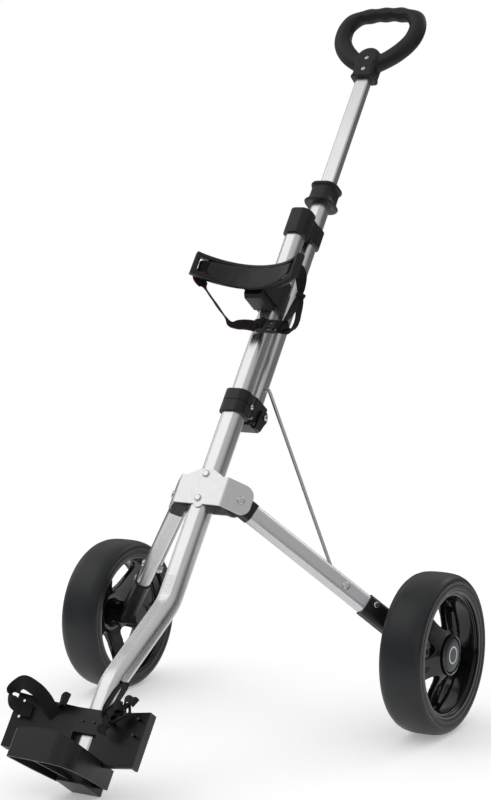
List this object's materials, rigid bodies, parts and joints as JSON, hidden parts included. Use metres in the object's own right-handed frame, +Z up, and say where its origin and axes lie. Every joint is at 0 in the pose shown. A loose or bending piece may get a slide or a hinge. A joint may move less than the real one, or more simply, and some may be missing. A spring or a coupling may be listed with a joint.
{
  "type": "golf pull trolley",
  "caption": "Folding golf pull trolley: sloping aluminium tube with bag cradle and base hoop, wide-wheeled folding legs, strut rods and a telescopic D-grip handle.",
  "frame": {"origin": "centre of the bounding box's base, on the ground", "axes": "+Z up; +Y towards the handle, away from the bag; +X across, along the wheels' axles"},
  "size_m": [0.686, 1.1176, 1.1833],
  "materials": {
    "tube_aluminium": "satin brushed",
    "bracket_plate": "bright satin plate",
    "fastener_steel": "bright zinc",
    "strut_steel": "bright drawn rod",
    "black_plastic": "matte moulded",
    "wheel_plastic": "glossy moulded",
    "hub_cap_plastic": null,
    "tyre_rubber": "smooth satin",
    "grip_rubber": "matte",
    "pad_rubber": "matte foam rubber",
    "webbing": "woven webbing, the left cradle strap with dull red edges",
    "bush_plastic": "natural nylon"
  },
  "bodies": {
    "frame": {"main_tube": "tube_aluminium", "leg_bracket_front": "bracket_plate", "leg_bracket_rear": "bracket_plate", "bracket_rivets": "fastener_steel", "leg_pin_left": "fastener_steel", "leg_pin_right": "fastener_steel", "guide_sleeve": "bush_plastic", "foot_saddle": "black_plastic", "foot_bracket": "black_plastic", "foot_screws": "fastener_steel", "strap_rivets": "fastener_steel", "foot_strap_left": "webbing", "foot_strap_right": "webbing", "foot_buckle": "black_plastic"},
    "mast": {"upper_tube": "tube_aluminium", "rear_tube": "tube_aluminium", "top_collar": "black_plastic", "clamp_body": "black_plastic", "clamp_bolt": "fastener_steel", "lever_pin": "fastener_steel", "spool_collar": "black_plastic", "cradle_shell": "black_plastic", "cradle_pad": "pad_rubber", "cradle_bracket": "black_plastic", "cradle_screws": "fastener_steel", "cradle_strap_left": "webbing", "cradle_strap_right": "webbing", "cradle_buckle": "black_plastic"},
    "cam_lever": {"cam_lever": "black_plastic"},
    "handle": {"handle_tube": "tube_aluminium", "handle_glide": "bush_plastic", "handle_grip": "grip_rubber", "handle_screws": "fastener_steel"},
    "leg_left": {"leg_knuckle_left": "black_plastic", "leg_tube_left": "tube_aluminium", "strut_bolt_left": "fastener_steel", "axle_socket_left": "black_plastic", "socket_screw_left": "fastener_steel", "axle_left": "fastener_steel"},
    "strut_left": {"strut_rod_left": "strut_steel", "strut_nut_left": "fastener_steel"},
    "wheel_left": {"tyre_left": "tyre_rubber", "wheel_centre_left": "wheel_plastic", "wheel_bush_left": "bush_plastic", "hub_cap_left": "hub_cap_plastic"},
    "leg_right": {"leg_knuckle_right": "black_plastic", "leg_tube_right": "tube_aluminium", "strut_bolt_right": "fastener_steel", "axle_socket_right": "black_plastic", "socket_screw_right": "fastener_steel", "axle_right": "fastener_steel"},
    "strut_right": {"strut_rod_right": "strut_steel", "strut_nut_right": "fastener_steel"},
    "wheel_right": {"tyre_right": "tyre_rubber", "wheel_centre_right": "wheel_plastic", "wheel_bush_right": "bush_plastic", "hub_cap_right": "hub_cap_plastic"}
  },
  "joints": [
    {"name": "mast_slide", "type": "slide", "parent": "frame", "child": "mast", "axis": [0, 0.599, 0.8007], "range_m": [-0.0881, 0]},
    {"name": "cam_lever_swing", "type": "hinge", "parent": "mast", "child": "cam_lever", "pos_m": [0, 0.05927, 0.49848], "axis": [1, 0, 0], "range_deg": [0, 100]},
    {"name": "handle_slide", "type": "slide", "parent": "mast", "child": "handle", "axis": [0, 0.599, 0.8007], "range_m": [-0.185, 0]},
    {"name": "leg_fold_left", "type": "hinge", "parent": "frame", "child": "leg_left", "pos_m": [-0.06326, -0.08578, 0.38844], "axis": [-0.7771, -0.5039, 0.377], "range_deg": [0, 60.5]},
    {"name": "strut_swing_left", "type": "hinge", "parent": "mast", "child": "strut_left", "pos_m": [-0.015, 0.07521, 0.5415], "axis": [-0.7771, -0.5039, 0.377], "range_deg": [0, 28.49]},
    {"name": "wheel_spin_left", "type": "hinge", "parent": "leg_left", "child": "wheel_left", "pos_m": [-0.307, 0.0977, 0.13], "axis": [1, 0, 0], "continuous": true},
    {"name": "leg_fold_right", "type": "hinge", "parent": "frame", "child": "leg_right", "pos_m": [0.06326, -0.08578, 0.38844], "axis": [-0.7771, 0.5039, -0.377], "range_deg": [0, 60.5]},
    {"name": "strut_swing_right", "type": "hinge", "parent": "mast", "child": "strut_right", "pos_m": [0.015, 0.07521, 0.5415], "axis": [-0.7771, 0.5039, -0.377], "range_deg": [0, 28.49]},
    {"name": "wheel_spin_right", "type": "hinge", "parent": "leg_right", "child": "wheel_right", "pos_m": [0.307, 0.0977, 0.13], "axis": [1, 0, 0], "continuous": true}
  ],
  "couplings": [
    {"joint": "leg_fold_left", "follows": "mast_slide", "rad_per_m": -11.886},
    {"joint": "strut_swing_left", "follows": "mast_slide", "rad_per_m": -5.5443},
    {"joint": "leg_fold_right", "follows": "mast_slide", "rad_per_m": -11.886},
    {"joint": "strut_swing_right", "follows": "mast_slide", "rad_per_m": -5.5443}
  ]
}
